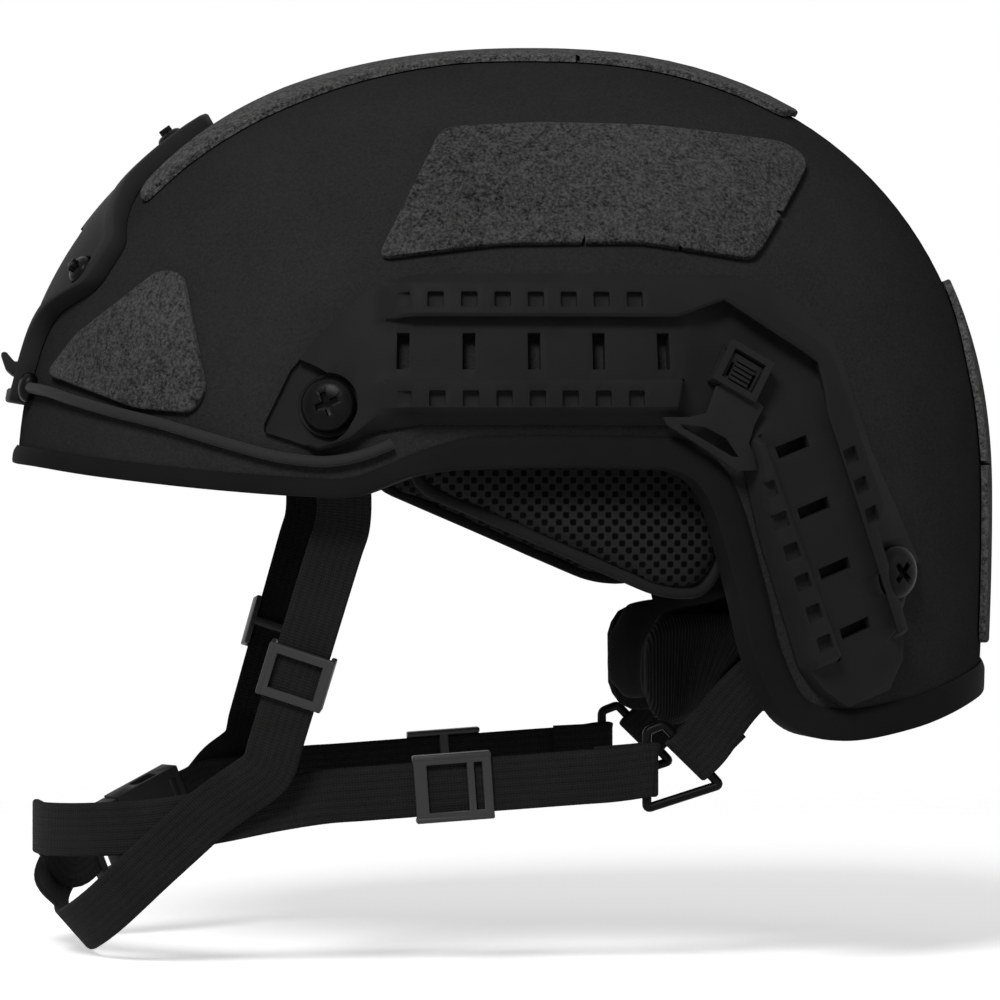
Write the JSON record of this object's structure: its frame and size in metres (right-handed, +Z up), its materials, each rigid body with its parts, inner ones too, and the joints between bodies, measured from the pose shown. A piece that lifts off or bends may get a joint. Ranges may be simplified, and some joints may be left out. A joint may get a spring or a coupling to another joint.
{
  "type": "combat_helmet",
  "caption": "High-cut protective helmet with side accessory rails, front mount, loop patches, padded liner, dial-set nape cradle and four-point chin strap",
  "frame": {"origin": "The middle of the head opening, on the level of the edge over the ears, at the mount head_seat", "axes": "+X to the back of the helmet, +Y to the wearer's right, +Z up through the crown"},
  "size_m": [0.282, 0.2264, 0.2564],
  "materials": {
    "shell": "matte sand-grained paint",
    "trim": "matte moulded rubber",
    "mount": "matte coated aluminium",
    "fastener": "matte blackened steel",
    "nut": "plain turned steel",
    "rail": "fine moulded texture",
    "clip": "fine moulded texture",
    "cord": "braided elastic cord",
    "loop_patch": "short loop pile",
    "disc": "hook tape",
    "pad": "spacer mesh over foam",
    "yoke": "moulded nylon",
    "dial": "moulded nylon",
    "gear": "moulded acetal",
    "webbing": "woven nylon webbing",
    "ring": "blackened wire",
    "slider": "moulded nylon",
    "buckle": "moulded acetal"
  },
  "bodies": {
    "helmet": {"shell": "shell", "edge_trim": "trim", "front_mount": "mount", "front_mount_screws": "fastener", "front_mount_nuts": "nut", "rail_left": "rail", "rail_right": "rail", "rail_bolts": "fastener", "anchor_nuts": "nut", "rail_clip_left": "clip", "rail_clip_right": "clip", "bungee_left": "cord", "bungee_right": "cord", "front_patch_left": "loop_patch", "front_patch_right": "loop_patch", "side_patch_left": "loop_patch", "side_patch_right": "loop_patch", "crown_patch": "loop_patch", "rear_patch": "loop_patch", "hook_discs": "disc", "crown_pad": "pad", "front_pad": "pad", "side_pad_left": "pad", "side_pad_right": "pad", "rear_pad": "pad", "nape_yoke": "yoke", "nape_pad": "pad", "dial_housing": "dial", "dial_cover": "dial", "nape_strap_left": "webbing", "nape_strap_right": "webbing", "strap_ring_left": "ring", "strap_ring_right": "ring", "front_strap_left": "webbing", "front_strap_right": "webbing", "rear_strap_left": "webbing", "rear_strap_right": "webbing", "chin_front_strap": "webbing", "chin_under_strap": "webbing", "buckle_socket": "buckle", "buckle_plug": "buckle"},
    "tab_left": {"clip_tab_left": "clip"},
    "tab_right": {"clip_tab_right": "clip"},
    "dial": {"dial_knob": "dial", "dial_pinion": "gear"},
    "rack_upper": {"rack_upper": "gear"},
    "rack_lower": {"rack_lower": "gear"},
    "slider_front_left": {"front_slider_left": "slider"},
    "slider_front_right": {"front_slider_right": "slider"},
    "slider_rear_left": {"rear_slider_left": "slider"},
    "slider_rear_right": {"rear_slider_right": "slider"},
    "prong_upper": {"buckle_prong_upper": "buckle"},
    "prong_lower": {"buckle_prong_lower": "buckle"}
  },
  "joints": [
    {"name": "clip_tab_press_left", "type": "hinge", "parent": "helmet", "child": "tab_left", "pos_m": [0.05695, -0.10424, 0.02751], "axis": [0.862, 0.1181, -0.493], "range_deg": [0, 5], "stiffness_Nm_per_rad": 0.05},
    {"name": "clip_tab_press_right", "type": "hinge", "parent": "helmet", "child": "tab_right", "pos_m": [0.05695, 0.10424, 0.02751], "axis": [-0.862, 0.1181, 0.493], "range_deg": [0, 5], "stiffness_Nm_per_rad": 0.05},
    {"name": "dial_turn", "type": "hinge", "parent": "helmet", "child": "dial", "pos_m": [0.06722, 0, -0.05472], "axis": [0.7071, 0, -0.7071], "range_deg": [-71.6, 71.6]},
    {"name": "rack_lower_slide", "type": "slide", "parent": "helmet", "child": "rack_lower", "axis": [0, 1, 0], "range_m": [-0.0066, 0.0066]},
    {"name": "rack_upper_slide", "type": "slide", "parent": "helmet", "child": "rack_upper", "axis": [0, 1, 0], "range_m": [-0.0066, 0.0066]},
    {"name": "front_slider_left_slide", "type": "slide", "parent": "helmet", "child": "slider_front_left", "axis": [-0.2724, 0.2213, -0.9364], "range_m": [-0.008, 0.008]},
    {"name": "front_slider_right_slide", "type": "slide", "parent": "helmet", "child": "slider_front_right", "axis": [-0.2724, -0.2213, -0.9364], "range_m": [-0.008, 0.008]},
    {"name": "rear_slider_left_slide", "type": "slide", "parent": "helmet", "child": "slider_rear_left", "axis": [-0.9976, 0, -0.0698], "range_m": [-0.008, 0.008]},
    {"name": "rear_slider_right_slide", "type": "slide", "parent": "helmet", "child": "slider_rear_right", "axis": [-0.9976, 0, -0.0698], "range_m": [-0.008, 0.008]},
    {"name": "buckle_prong_upper_squeeze", "type": "hinge", "parent": "helmet", "child": "prong_upper", "pos_m": [-0.11127, 0.04381, -0.10296], "axis": [-0.4909, 0.8712, 0], "range_deg": [0, 9], "stiffness_Nm_per_rad": 0.05},
    {"name": "buckle_prong_lower_squeeze", "type": "hinge", "parent": "helmet", "child": "prong_lower", "pos_m": [-0.10716, 0.04613, -0.11377], "axis": [0.4909, -0.8712, 0], "range_deg": [0, 9], "stiffness_Nm_per_rad": 0.05}
  ],
  "couplings": [
    {"joint": "rack_lower_slide", "follows": "dial_turn", "m_per_rad": 0.0048},
    {"joint": "rack_upper_slide", "follows": "dial_turn", "m_per_rad": -0.0048}
  ]
}
